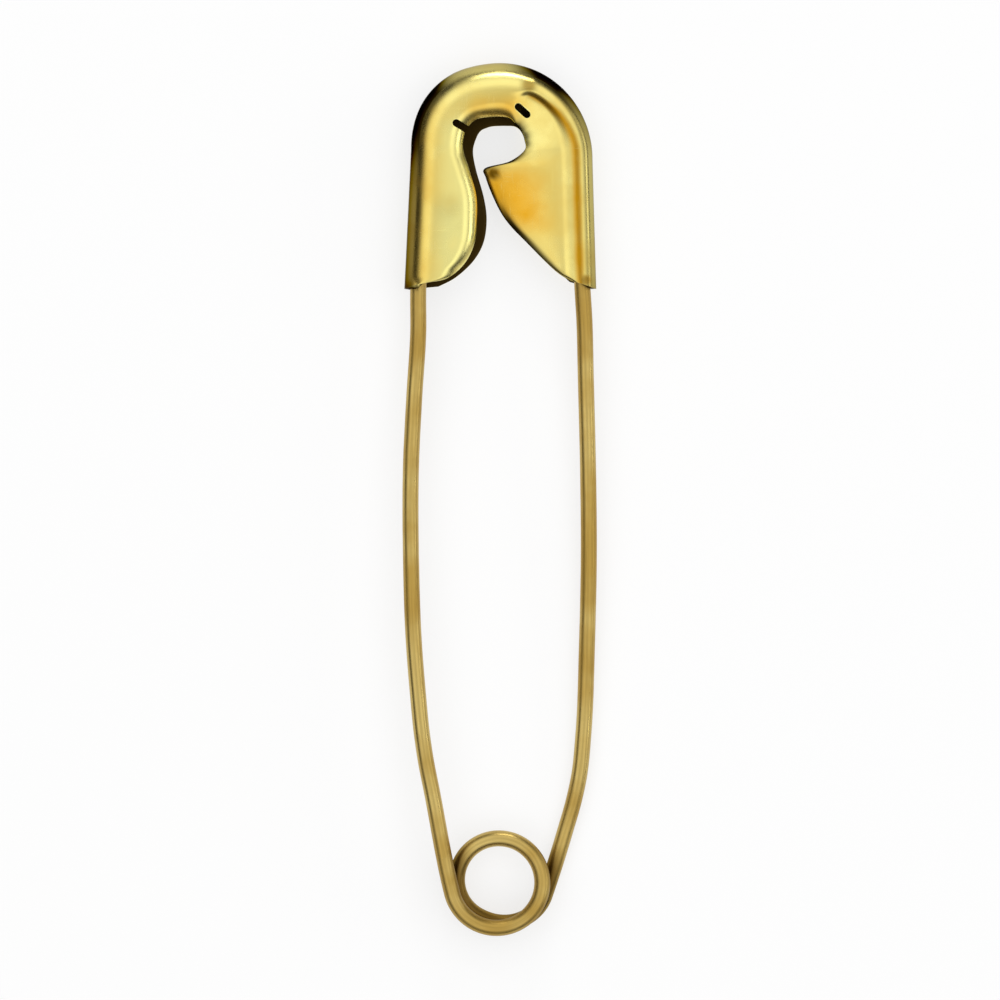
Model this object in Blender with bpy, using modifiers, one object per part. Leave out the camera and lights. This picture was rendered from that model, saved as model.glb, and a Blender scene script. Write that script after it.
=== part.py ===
"""Closed safety pin: one spring wire with a coil, and a stamped clasp cap.

Metres, +Z up. The pin lies on its back: +Y runs from the coil to the cap, the sharp arm is
on the -X side and the fixed leg on the +X side, and the cap's flat back lies at Z = 0.
The origin is the middle of the pin's length and width, on the surface it lies on.
"""
import math

import bmesh
import bpy
from mathutils import Vector

MM = 0.001

# Whole pin
PIN_LENGTH = 54.0 * MM
WIRE_DIAMETER = 1.0 * MM
FIT_GAP = 0.3 * MM             # air left between pieces that touch on the real pin

# Clasp cap, stamped from strip and folded over front to back
CAP_LENGTH = 13.95 * MM
CAP_HALF_WIDTH = 5.9 * MM
CAP_THICKNESS = 3.4 * MM
CAP_SHEET = 0.3 * MM
CAP_MOUTH_HALF = (5.91 * MM, 5.95 * MM)       # left, right, at the open end
CAP_SHOULDER_HALF = (5.5 * MM, 5.72 * MM)     # where the arch begins
CAP_ARCH_HEIGHT = (5.38 * MM, 5.94 * MM)
ARCH_EXPONENTS = (2.2, 2.0)                   # how square each side of the arch is
GUARD_WALL_ROUNDING = 1.05 * MM
GUARD_EDGE_DROP = 0.15 * MM
CRIMP_GAP = 0.25 * MM                         # air round the wire in the crimped side
CRIMP_LEAF_RISE = 0.3 * MM                    # leaf's front over the middle plane
CRIMP_BACK_DROP = 1.1 * MM                    # leaf's back under the middle plane
CRIMP_STEP_START = 0.15 * MM
CRIMP_STEP_WIDTH = 1.15 * MM
BEAK_DROP = 0.7 * MM                          # leaf's tip under the rest of the leaf
RELIEF_WIDTH = 0.34 * MM
RELIEF_LENGTH = 0.95 * MM
RELIEF_CUT_DEPTH = 1.1 * MM                    # of the cutter, under and over the cap's front

# Legs and coil
LEG_HALF_SPREAD = 5.58 * MM
COIL_CENTRE_X = -0.14 * MM
COIL_ARM_RADIUS = 2.9 * MM                    # wire's centre line, where the arm leaves
COIL_RADIUS = 2.5 * MM
COIL_LEG_RADIUS = 3.07 * MM                   # where the fixed leg leaves
COIL_PITCH = 1.45 * MM
COIL_START_DEG = 192.0
COIL_TIGHT_DEG = 600.0
COIL_END_DEG = 704.0
COIL_STEP_DEG = 14.0
LEG_POINT_SPACING = 1.4 * MM
CUT_GAP = 0.45 * MM                           # between the coil's end and the arm's root

# Moving arm
ARM_ROOT_LENGTH = 1.4 * MM                    # straight wire that carries the bend
POINT_LENGTH = 4.5 * MM                       # ground point
POINT_TIP_RADIUS = 0.05 * MM
POINT_DROP = 0.15 * MM                        # tip under the cap's middle plane
LIFT_ANGLE_DEG = 8.0                          # the arm leaves the guard this far off flat

# What follows is worked out from the sizes above
WIRE_RADIUS = WIRE_DIAMETER / 2
WELD_DISTANCE = POINT_TIP_RADIUS / 50
CAP_TOP_Y = PIN_LENGTH / 2
CAP_MOUTH_Y = CAP_TOP_Y - CAP_LENGTH
COIL_CENTRE_Y = -PIN_LENGTH / 2 + COIL_ARM_RADIUS + WIRE_RADIUS
CAP_MID_Z = CAP_THICKNESS / 2
CRIMP_RADIUS = WIRE_RADIUS + CRIMP_GAP + CAP_SHEET
COIL_RISE = COIL_PITCH * (COIL_END_DEG - COIL_START_DEG) / 360
COIL_TOP_Z = WIRE_RADIUS + COIL_RISE

# Places along the cap's outline are 0 to 1 up the guard side, 1 to 2 round the arch and
# 2 to 3 down the crimped side. Each row: place, front edge (x as a share of the half width,
# y as a share of the cap's length), back edge (the same), and how far the section is
# recessed, how tightly it hugs the wire, and how far its tip is pressed down to the back.
STATION_SHARES = [
    (0.000, -0.742, 0.024, -0.648, 0.014, 0.0, 0.0, 0.0),
    (0.072, -0.553, 0.044, -0.459, 0.060, 0.0, 0.0, 0.0),
    (0.186, -0.364, 0.114, -0.279, 0.134, 0.0, 0.0, 0.0),
    (0.316, -0.269, 0.204, -0.175, 0.214, 0.0, 0.0, 0.0),
    (0.511, -0.251, 0.314, -0.142, 0.314, 0.0, 0.0, 0.0),
    (0.674, -0.260, 0.414, -0.151, 0.414, 0.0, 0.0, 0.0),
    (0.853, -0.340, 0.524, -0.236, 0.534, 0.0, 0.0, 0.0),
    (1.000, -0.411, 0.614, -0.284, 0.614, 0.0, 0.0, 0.0),
    (1.065, -0.378, 0.684, -0.246, 0.674, 0.0, 0.0, 0.0),
    (1.152, -0.317, 0.730, -0.189, 0.706, 0.0, 0.0, 0.0),
    (1.253, -0.246, 0.752, -0.128, 0.714, 0.0, 0.0, 0.0),
    (1.347, -0.151, 0.762, -0.071, 0.718, 0.0, 0.0, 0.0),
    (1.500, -0.009, 0.766, 0.014, 0.720, 0.0, 0.0, 0.0),
    (1.598, 0.085, 0.766, 0.071, 0.720, 0.0, 0.0, 0.0),
    (1.646, 0.194, 0.766, 0.147, 0.718, 1.0, 0.0, 0.0),
    (1.729, 0.241, 0.750, 0.203, 0.706, 1.0, 0.2, 0.0),
    (1.813, 0.260, 0.720, 0.241, 0.682, 1.0, 0.5, 0.0),
    (1.897, 0.265, 0.680, 0.265, 0.654, 1.0, 0.8, 0.1),
    (1.963, 0.260, 0.626, 0.279, 0.614, 1.0, 1.0, 0.3),
    (2.000, 0.109, 0.570, 0.184, 0.558, 1.0, 1.0, 0.7),
    (2.073, -0.109, 0.538, -0.043, 0.530, 1.0, 1.0, 1.0),
    (2.147, -0.099, 0.494, -0.043, 0.490, 1.0, 1.0, 1.0),
    (2.293, -0.033, 0.414, 0.024, 0.414, 1.0, 1.0, 1.0),
    (2.440, 0.028, 0.334, 0.085, 0.334, 1.0, 1.0, 0.9),
    (2.550, 0.128, 0.274, 0.184, 0.274, 1.0, 1.0, 0.7),
    (2.660, 0.260, 0.214, 0.317, 0.214, 1.0, 1.0, 0.45),
    (2.842, 0.487, 0.114, 0.534, 0.114, 1.0, 1.0, 0.2),
    (2.934, 0.620, 0.064, 0.650, 0.064, 1.0, 1.0, 0.1),
    (3.000, 0.740, 0.034, 0.740, 0.034, 1.0, 1.0, 0.0),
]
ROWS_PER_STATION = 2
WALL_COLUMNS = 4
STEP_COLUMNS = 3
FRONT_COLUMNS = 4
BACK_COLUMNS = 3
ROUND_END_STEPS = 6

# Relief cuts at the two inner corners of the cap's front: x, y as above, and the turn
RELIEF_SHARES = [(-0.395, 0.735, 160.0), (0.236, 0.782, -47.0)]

# Centre lines of the two legs: x as a share of the half spread, y as a share of the way from
# the coil's centre to the cap's mouth
ARM_SHARES = [(-0.815, 0.200), (-0.860, 0.245), (-0.910, 0.321), (-0.950, 0.397),
              (-0.985, 0.549), (-0.985, 0.701), (-0.950, 0.815), (-0.905, 0.929)]
LEG_SHARES = [(0.640, 0.040), (0.730, 0.086), (0.815, 0.131), (0.880, 0.177), (0.925, 0.245),
              (0.965, 0.397), (0.985, 0.549), (0.975, 0.701), (0.950, 0.853), (0.925, 0.945)]
ARM_BEND_SHARE = (-0.755, 0.154)
ARM_SEAT_SHARES = [0.0, 0.14, 0.28, 0.42, 0.56]     # of the cap's length, last one the tip
LEG_SEAT_SHARES = [0.03, 0.15, 0.30, 0.45, 0.56, 0.65, 0.72]


def clear_scene():
    for item in list(bpy.data.objects):
        bpy.data.objects.remove(item, do_unlink=True)


def new_collection(name):
    group = bpy.data.collections.new(name)
    bpy.context.scene.collection.children.link(group)
    return group


def new_material(name, colour, roughness, metallic):
    material = bpy.data.materials.new(name)
    material.use_nodes = True
    shader = material.node_tree.nodes["Principled BSDF"]
    shader.inputs["Base Color"].default_value = (*colour, 1.0)
    shader.inputs["Roughness"].default_value = roughness
    shader.inputs["Metallic"].default_value = metallic
    return material


def mix(a, b, share):
    return a + (b - a) * share


def ease(share):
    share = min(max(share, 0.0), 1.0)
    return share * share * (3 - 2 * share)


def spline_point(points, place):
    """A point on the smooth curve through all points; place counts from 0 along them."""
    index = min(int(place), len(points) - 2)
    t = place - index
    before = points[max(index - 1, 0)]
    start = points[index]
    end = points[index + 1]
    after = points[min(index + 2, len(points) - 1)]
    return 0.5 * (2 * start + (end - before) * t
                  + (2 * before - 5 * start + 4 * end - after) * t * t
                  + (3 * start - before - 3 * end + after) * t * t * t)


def resample(points, spacing):
    """The smooth curve through the points, with a point at least every spacing."""
    path = [points[0]]
    for index in range(len(points) - 1):
        steps = max(1, math.ceil((points[index + 1] - points[index]).length / spacing))
        for step in range(1, steps + 1):
            path.append(spline_point(points, index + step / steps))
    return path


# Clasp cap

def outline_point(place):
    """The cap's outer outline, seen from the front, at the wall's middle."""
    side = 0 if place < 1.5 else 1
    sign = (-1, 1)[side]
    shoulder_y = CAP_TOP_Y - CAP_ARCH_HEIGHT[side]
    if 1 <= place <= 2:
        angle = math.pi * (place - 1)
        power = 2 / ARCH_EXPONENTS[side]
        x = CAP_SHOULDER_HALF[side] * abs(math.cos(angle)) ** power
        y = shoulder_y + CAP_ARCH_HEIGHT[side] * math.sin(angle) ** power
        return Vector((sign * x, y, 0))
    up = place if side == 0 else 3 - place
    x = mix(CAP_MOUTH_HALF[side], CAP_SHOULDER_HALF[side], up)
    return Vector((sign * x, mix(CAP_MOUTH_Y, shoulder_y, up), 0))


def wall_x(side, y):
    """How far the cap's wall stands from the middle at a height y, on one side."""
    shoulder_y = CAP_TOP_Y - CAP_ARCH_HEIGHT[side]
    if y <= shoulder_y:
        up = (y - CAP_MOUTH_Y) / (shoulder_y - CAP_MOUTH_Y)
        return mix(CAP_MOUTH_HALF[side], CAP_SHOULDER_HALF[side], up)
    rise = (y - shoulder_y) / CAP_ARCH_HEIGHT[side]
    power = ARCH_EXPONENTS[side]
    return CAP_SHOULDER_HALF[side] * (1 - rise ** power) ** (1 / power)


def cap_point(x_share, y_share):
    return Vector((x_share * CAP_HALF_WIDTH, CAP_MOUTH_Y + y_share * CAP_LENGTH, 0))


def half_section(wall, edge, rounding, top, heights, columns):
    """Points from beside the wall to the free edge of one leaf, on its outer face."""
    across = edge - wall
    width = across.length
    across.normalize()
    points = []
    for column in range(1, WALL_COLUMNS + 1):
        angle = math.pi / 2 * column / WALL_COLUMNS
        away = rounding * (1 - math.cos(angle))
        height = CAP_MID_Z + (top - CAP_MID_Z) * math.sin(angle)
        points.append(wall + across * away + Vector((0, 0, height)))
    step = min(CRIMP_STEP_WIDTH / STEP_COLUMNS, (width - rounding) / (STEP_COLUMNS + columns))
    aways = [rounding + step * (column + 1) for column in range(STEP_COLUMNS)]
    rest = width - aways[-1]
    aways += [aways[-1] + rest * (column + 1) / columns for column in range(columns)]
    for away in aways:
        height = heights(away - rounding, width - rounding)
        points.append(wall + across * away + Vector((0, 0, height)))
    return points


def section_points(place, front_edge, back_edge, recess, hug, press):
    wall = outline_point(place)
    rounding = mix(GUARD_WALL_ROUNDING, CRIMP_RADIUS, hug)
    front_top = mix(CAP_THICKNESS, CAP_MID_Z + CRIMP_RADIUS, hug)
    back_top = mix(0, CAP_MID_Z - CRIMP_RADIUS, hug)
    leaf_z = CAP_MID_Z + CRIMP_LEAF_RISE

    def front_height(away, width):
        share = away / width
        raised = front_top - GUARD_EDGE_DROP * share * share
        step = ease((away - CRIMP_STEP_START) / CRIMP_STEP_WIDTH)
        leaf_width = max(width - CRIMP_STEP_WIDTH, CRIMP_STEP_WIDTH)
        beyond = max(away - CRIMP_STEP_WIDTH, 0) / leaf_width
        recessed = mix(front_top, leaf_z, step) - BEAK_DROP * press * ease(beyond)
        return mix(raised, recessed, recess)

    def back_height(away, width):
        step = ease(away / CRIMP_STEP_WIDTH)
        return mix(back_top, CAP_MID_Z - CRIMP_BACK_DROP, hug * step)

    front = half_section(wall, front_edge, rounding, front_top, front_height, FRONT_COLUMNS)
    back = half_section(wall, back_edge, rounding, back_top, back_height, BACK_COLUMNS)
    middle = wall + Vector((0, 0, CAP_MID_Z))
    return list(reversed(front)) + [middle] + back


def make_cap(group, cutters, material):
    """The folded sheet as a loft over its stations, thickened inwards, with relief cuts."""
    fronts = [cap_point(row[1], row[2]) for row in STATION_SHARES]
    backs = [cap_point(row[3], row[4]) for row in STATION_SHARES]
    vertices = []
    row_count = (len(STATION_SHARES) - 1) * ROWS_PER_STATION + 1
    for row in range(row_count):
        place = row / ROWS_PER_STATION
        index = min(int(place), len(STATION_SHARES) - 2)
        start = STATION_SHARES[index]
        end = STATION_SHARES[index + 1]
        share = place - index
        vertices += section_points(mix(start[0], end[0], share),
                                   spline_point(fronts, place), spline_point(backs, place),
                                   *(mix(start[k], end[k], share) for k in (5, 6, 7)))
    columns = len(vertices) // row_count
    faces = []
    for row in range(row_count - 1):
        for column in range(columns - 1):
            corner = row * columns + column
            faces.append((corner, corner + columns, corner + columns + 1, corner + 1))
    mesh = bpy.data.meshes.new("clasp_cap")
    mesh.from_pydata(vertices, [], faces)
    mesh.shade_smooth()
    cap = bpy.data.objects.new("clasp_cap", mesh)
    group.objects.link(cap)
    cap.data.materials.append(material)
    sheet = cap.modifiers.new("sheet", "SOLIDIFY")
    sheet.thickness = CAP_SHEET
    sheet.offset = -1
    sheet.use_even_offset = True
    for number, (x_share, y_share, turn) in enumerate(RELIEF_SHARES):
        cutter = make_relief_cutter(cutters, f"relief_cutter_{number + 1}")
        cutter.location = cap_point(x_share, y_share) + Vector((0, 0, CAP_THICKNESS))
        cutter.rotation_euler = (0, 0, math.radians(turn))
        cut = cap.modifiers.new(cutter.name, "BOOLEAN")
        cut.operation = "DIFFERENCE"
        cut.solver = "EXACT"
        cut.object = cutter
    return cap


def make_relief_cutter(cutters, name):
    """A slot with round ends that goes through the front leaf only."""
    curve = bpy.data.curves.new(name, "CURVE")
    curve.dimensions = "2D"
    curve.fill_mode = "BOTH"
    curve.extrude = RELIEF_CUT_DEPTH
    outline = curve.splines.new("POLY")
    half = (RELIEF_LENGTH - RELIEF_WIDTH) / 2
    corners = []
    for end in (1, -1):
        for step in range(ROUND_END_STEPS + 1):
            angle = math.pi * (step / ROUND_END_STEPS - 0.5)
            corners.append((end * (half + RELIEF_WIDTH / 2 * math.cos(angle)),
                            end * RELIEF_WIDTH / 2 * math.sin(angle)))
    outline.points.add(len(corners) - 1)
    for point, corner in zip(outline.points, corners):
        point.co = (*corner, 0, 1)
    outline.use_cyclic_u = True
    flat = bpy.data.objects.new(name, curve)
    cutters.objects.link(flat)
    cutter = to_mesh_object(flat, cutters)
    cutter.hide_render = True
    cutter.display_type = "WIRE"
    return cutter


# Wire

def leg_point(x_share, y_share, z):
    return Vector((x_share * LEG_HALF_SPREAD,
                   mix(COIL_CENTRE_Y, CAP_MOUTH_Y, y_share), z))


def bend_point():
    x_share, y_share = ARM_BEND_SHARE
    return leg_point(x_share, y_share, COIL_TOP_Z - (COIL_TOP_Z - CAP_MID_Z) * y_share)


def seat_point(side, y_share, gap, z):
    """The wire's centre inside the cap, beside the wall of one side."""
    y = CAP_MOUTH_Y + y_share * CAP_LENGTH
    x = wall_x(side, y) - CAP_SHEET - gap - WIRE_RADIUS
    return Vector(((-1, 1)[side] * x, y, z))


def tip_point():
    return seat_point(0, ARM_SEAT_SHARES[-1], FIT_GAP, CAP_MID_Z - POINT_DROP)


def arm_line():
    """Unit vector from the arm's bend to its tip: the line that the arm turns about."""
    return (tip_point() - bend_point()).normalized()


def coil_points():
    """The winding, from where the arm leaves it to where the fixed leg leaves it."""
    steps = round((COIL_END_DEG - COIL_START_DEG) / COIL_STEP_DEG)
    points = []
    for step in range(steps + 1):
        degrees = mix(COIL_START_DEG, COIL_END_DEG, step / steps)
        if degrees < COIL_TIGHT_DEG:
            share = ease((degrees - COIL_START_DEG) / (COIL_TIGHT_DEG - COIL_START_DEG))
            radius = mix(COIL_ARM_RADIUS, COIL_RADIUS, share)
        else:
            share = ease((degrees - COIL_TIGHT_DEG) / (COIL_END_DEG - COIL_TIGHT_DEG))
            radius = mix(COIL_RADIUS, COIL_LEG_RADIUS, share)
        angle = math.radians(degrees)
        points.append(Vector((COIL_CENTRE_X + radius * math.cos(angle),
                              COIL_CENTRE_Y + radius * math.sin(angle),
                              COIL_TOP_Z - COIL_RISE * step / steps)))
    return points


def spring_wire_points():
    """Stub towards the arm, coil, fixed leg, and its end in the crimp."""
    line = arm_line()
    stub_end = bend_point() - line * (ARM_ROOT_LENGTH + CUT_GAP)
    points = [stub_end, stub_end - line * WIRE_DIAMETER]
    points += coil_points()
    for x_share, y_share in LEG_SHARES:
        points.append(leg_point(x_share, y_share, mix(WIRE_RADIUS, CAP_MID_Z, ease(y_share))))
    for y_share in LEG_SEAT_SHARES:
        points.append(seat_point(1, y_share, CRIMP_GAP, CAP_MID_Z))
    return resample(points, LEG_POINT_SPACING)


def arm_points():
    """From beside the bend to the tip; the arm's height runs straight between the two."""
    start = bend_point() + arm_line() * FIT_GAP / 2
    end = tip_point()
    points = [start, start + arm_line() * WIRE_RADIUS]
    for x_share, y_share in ARM_SHARES:
        points.append(leg_point(x_share, y_share, 0))
    for y_share in ARM_SEAT_SHARES:
        points.append(seat_point(0, y_share, FIT_GAP, 0))
    for point in points[2:]:
        point.z = mix(start.z, end.z, (point.y - start.y) / (end.y - start.y))
    return resample(points, LEG_POINT_SPACING)


def make_wire(group, name, points, material, radii=None):
    """A round wire along the points; radii gives the wire's radius at each, if it tapers."""
    curve = bpy.data.curves.new(name, "CURVE")
    curve.dimensions = "3D"
    curve.bevel_depth = WIRE_RADIUS
    curve.bevel_resolution = 2
    curve.use_fill_caps = True
    spline = curve.splines.new("POLY")
    spline.points.add(len(points) - 1)
    for index, (target, point) in enumerate(zip(spline.points, points)):
        target.co = (*point, 1)
        target.radius = radii[index] / WIRE_RADIUS if radii else 1
    wire = bpy.data.objects.new(name, curve)
    group.objects.link(wire)
    wire.data.materials.append(material)
    return to_mesh_object(wire, group)


def to_mesh_object(source, group):
    """The evaluated curve as a welded mesh object in its place."""
    bpy.context.view_layer.update()
    graph = bpy.context.evaluated_depsgraph_get()
    mesh = bpy.data.meshes.new_from_object(source.evaluated_get(graph))
    weld(mesh)
    name = source.name
    placed = source.matrix_world.copy()
    bpy.data.objects.remove(source, do_unlink=True)
    result = bpy.data.objects.new(name, mesh)
    result.matrix_world = placed
    group.objects.link(result)
    return result


def weld(mesh):
    shape = bmesh.new()
    shape.from_mesh(mesh)
    bmesh.ops.remove_doubles(shape, verts=shape.verts, dist=WELD_DISTANCE)
    bmesh.ops.recalc_face_normals(shape, faces=shape.faces)
    shape.to_mesh(mesh)
    shape.free()


def point_radii(points):
    """The wire's radius along the arm, ground to a point at its end."""
    radii = []
    to_go = sum((b - a).length for a, b in zip(points, points[1:]))
    for index, point in enumerate(points):
        if index:
            to_go -= (point - points[index - 1]).length
        share = min(max(to_go, 0) / POINT_LENGTH, 1)
        radii.append(mix(POINT_TIP_RADIUS, WIRE_RADIUS, math.sin(math.pi / 2 * share)))
    return radii


def least_self_gap(points):
    """The least air between turns of one wire, from points along its centre line."""
    neighbours = 4 * WIRE_DIAMETER             # points nearer than this along the wire are skipped
    travelled = [0]
    for a, b in zip(points, points[1:]):
        travelled.append(travelled[-1] + (b - a).length)
    least = PIN_LENGTH
    for i, a in enumerate(points):
        for j in range(i + 1, len(points)):
            if travelled[j] - travelled[i] > neighbours:
                least = min(least, (points[j] - a).length)
    return least - WIRE_DIAMETER


def make_empty(group, name, place, parent=None):
    empty = bpy.data.objects.new(name, None)
    empty.empty_display_size = WIRE_DIAMETER
    group.objects.link(empty)
    empty.location = place
    if parent:
        carry(empty, parent)
    return empty


def carry(child, parent):
    """Parents the child without moving it."""
    bpy.context.view_layer.update()
    placed = child.matrix_world.copy()
    child.parent = parent
    child.matrix_parent_inverse = parent.matrix_world.inverted()
    child.matrix_world = placed


def lift_direction():
    """The way the arm's tip first goes: inwards, and a little up out of the guard."""
    line = arm_line()
    angle = math.radians(LIFT_ANGLE_DEG)
    wanted = Vector((math.cos(angle), 0, math.sin(angle)))
    return (wanted - line * wanted.dot(line)).normalized()


def main():
    clear_scene()
    group = new_collection("safety_pin")
    cutters = new_collection("cutters")
    cap_gold = new_material("cap_gold_plate", (0.83, 0.60, 0.22), 0.22, 1.0)
    wire_gold = new_material("wire_gold_plate", (0.70, 0.50, 0.18), 0.28, 1.0)

    make_cap(group, cutters, cap_gold)
    wire_path = spring_wire_points()
    make_wire(group, "spring_wire", wire_path, wire_gold)
    gap = least_self_gap(resample(wire_path, WIRE_RADIUS / 2))
    print(f"least gap of the spring wire to itself: {gap / MM:.3f} mm")

    line = arm_line()
    turn_axis = make_empty(group, "arm_turn_axis", bend_point() - line * ARM_ROOT_LENGTH)
    bend_axis = make_empty(group, "arm_bend_axis", bend_point(), turn_axis)
    root_start = bend_point() - line * (ARM_ROOT_LENGTH + FIT_GAP / 2)
    root_end = bend_point() - line * FIT_GAP / 2
    arm_root = make_wire(group, "arm_root", [root_start, root_end], wire_gold)
    carry(arm_root, turn_axis)
    path = arm_points()
    pin_arm = make_wire(group, "pin_arm", path, wire_gold, point_radii(path))
    carry(pin_arm, bend_axis)
    print("turn axis through", [round(v, 7) for v in turn_axis.matrix_world.translation],
          "along", [round(v, 6) for v in -line])
    print("bend axis through", [round(v, 7) for v in bend_point()],
          "along", [round(v, 6) for v in line.cross(lift_direction())])


main()
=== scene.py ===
import math

import bmesh
import bpy
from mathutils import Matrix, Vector
from mathutils.kdtree import KDTree


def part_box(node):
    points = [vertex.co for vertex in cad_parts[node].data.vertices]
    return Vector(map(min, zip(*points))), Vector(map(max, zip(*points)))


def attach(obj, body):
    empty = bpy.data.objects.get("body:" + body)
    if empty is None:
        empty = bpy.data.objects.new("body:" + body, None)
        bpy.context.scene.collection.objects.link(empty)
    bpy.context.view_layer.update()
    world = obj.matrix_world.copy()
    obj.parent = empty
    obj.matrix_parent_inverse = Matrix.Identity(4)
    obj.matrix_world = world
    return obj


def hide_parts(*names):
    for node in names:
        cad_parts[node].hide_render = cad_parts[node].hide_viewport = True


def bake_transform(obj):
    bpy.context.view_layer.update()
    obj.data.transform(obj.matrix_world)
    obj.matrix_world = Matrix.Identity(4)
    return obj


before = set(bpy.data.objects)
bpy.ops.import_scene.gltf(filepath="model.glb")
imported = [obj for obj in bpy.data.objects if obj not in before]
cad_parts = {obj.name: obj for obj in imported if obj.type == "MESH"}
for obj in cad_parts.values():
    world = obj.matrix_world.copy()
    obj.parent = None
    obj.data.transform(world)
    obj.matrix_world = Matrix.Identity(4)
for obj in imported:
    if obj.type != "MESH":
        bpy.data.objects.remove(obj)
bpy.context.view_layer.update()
print("frame loaded:", sorted(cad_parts))

mm = 0.001
bpy.context.scene.view_settings.view_transform = "Standard"

capLow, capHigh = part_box("clasp_cap")
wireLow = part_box("spring_wire")[0]
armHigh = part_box("pin_arm")[1]


# Small helpers

def mix(a, b, share):
    return a + (b - a) * share


def clamp(value, low=0.0, high=1.0):
    return min(max(value, low), high)


def ease(share):
    share = clamp(share)
    return share * share * (3 - 2 * share)


def fading(away, start, over):
    # 1 up to the start, then down to 0
    return 1 - ease((away - start) / over)


def splineValue(values, place):
    # value on the smooth curve through an evenly counted list
    index = min(int(place), len(values) - 2)
    t = place - index
    before, start, end = values[max(index - 1, 0)], values[index], values[index + 1]
    after = values[min(index + 2, len(values) - 1)]
    return 0.5 * (2 * start + (end - before) * t
                  + (2 * before - 5 * start + 4 * end - after) * t * t
                  + (3 * start - before - 3 * end + after) * t * t * t)


def smoothPath(points, spacing):
    # a smooth curve through points that lie at uneven distances
    lengths = [(b - a).length for a, b in zip(points, points[1:])]
    slopes = [(b - a) / length for a, b, length in zip(points, points[1:], lengths)]
    tangents = [slopes[0]]
    for a, b, before, after in zip(slopes, slopes[1:], lengths, lengths[1:]):
        tangents.append((a * after + b * before) / (before + after))
    tangents.append(slopes[-1])
    path = [points[0]]
    for index, length in enumerate(lengths):
        steps = max(1, math.ceil(length / spacing))
        for step in range(1, steps + 1):
            t = step / steps
            bend = t * t * (3 - 2 * t)
            path.append(points[index] * (1 - bend) + points[index + 1] * bend
                        + tangents[index] * length * t * (1 - t) ** 2
                        - tangents[index + 1] * length * t * t * (1 - t))
    return path


def newObject(name, data):
    thing = bpy.data.objects.new(name, data)
    bpy.context.scene.collection.objects.link(thing)
    return thing


def plainMesh(source):
    # the evaluated result as a plain mesh object of the same name; the source goes
    bpy.context.view_layer.update()
    graph = bpy.context.evaluated_depsgraph_get()
    mesh = bpy.data.meshes.new_from_object(
        source.evaluated_get(graph), preserve_all_data_layers=True, depsgraph=graph)
    name = source.name
    bpy.data.objects.remove(source, do_unlink=True)
    mesh.name = name
    return newObject(name, mesh)


# Materials

def addNode(tree, kind, links=None, **values):
    # values sets inputs and settings by name; links joins inputs to output sockets
    node = tree.nodes.new(kind)
    for name, value in values.items():
        if name in node.inputs:
            node.inputs[name].default_value = value
        else:
            setattr(node, name, value)
    for name, socket in (links or {}).items():
        tree.links.new(socket, node.inputs[name])
    return node


def mathNode(tree, operation, first, second=None, limit=False):
    node = tree.nodes.new("ShaderNodeMath")
    node.operation = operation
    node.use_clamp = limit
    for number, value in enumerate((first, second)):
        if value is None:
            continue
        if isinstance(value, (int, float)):
            node.inputs[number].default_value = value
        else:
            tree.links.new(value, node.inputs[number])
    return node.outputs[0]


def mapRange(tree, value, low, high, outLow=0.0, outHigh=1.0):
    node = addNode(tree, "ShaderNodeMapRange", {"Value": value}, interpolation_type="SMOOTHSTEP")
    for name, number in (("From Min", low), ("From Max", high),
                         ("To Min", outLow), ("To Max", outHigh)):
        node.inputs[name].default_value = number
    return node.outputs["Result"]


def mixColour(tree, share, first, second):
    node = tree.nodes.new("ShaderNodeMix")
    node.data_type = "RGBA"
    for name, value in (("Factor", share), ("A", first), ("B", second)):
        socket = next(s for s in node.inputs
                      if s.name == name and (s.type == "RGBA" or name == "Factor"))
        if isinstance(value, (tuple, list)):
            socket.default_value = (*value, 1.0)
        elif isinstance(value, (int, float)):
            socket.default_value = value
        else:
            tree.links.new(value, socket)
    return next(s for s in node.outputs if s.type == "RGBA")


def noiseNode(tree, vector, scale, detail, rough, stretch=(1, 1, 1), turn=0.0):
    mapping = addNode(tree, "ShaderNodeMapping", {"Vector": vector},
                      Scale=stretch, Rotation=(0, 0, math.radians(turn)))
    node = addNode(tree, "ShaderNodeTexNoise", {"Vector": mapping.outputs[0]},
                   Scale=scale, Detail=detail, Roughness=rough)
    return node.outputs["Fac"]


def attributeNode(tree, name, output="Fac"):
    node = tree.nodes.new("ShaderNodeAttribute")
    node.attribute_name = name
    return node.outputs[output]


def startGold(name):
    material = bpy.data.materials.new(name)
    material.use_nodes = True
    tree = material.node_tree
    shader = tree.nodes["Principled BSDF"]
    shader.inputs["Metallic"].default_value = 1.0
    return material, tree, shader, tree.nodes.new("ShaderNodeTexCoord").outputs["Object"]


def finishGold(tree, shader, look, colour, dullAndShade, rough, height):
    # where the painted shade passed in is 1 the shine takes the look's shade, a painted dark
    # reflection
    shine = mixColour(tree, dullAndShade, (1.0, 1.0, 1.0), look["shade"])
    bump = addNode(tree, "ShaderNodeBump", {"Height": height},
                   Strength=look["bump"], Distance=look["bumpDepth"])
    for name, socket in (("Base Color", colour), ("Specular Tint", shine),
                         ("Roughness", rough), ("Normal", bump.outputs["Normal"])):
        tree.links.new(socket, shader.inputs[name])


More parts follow.
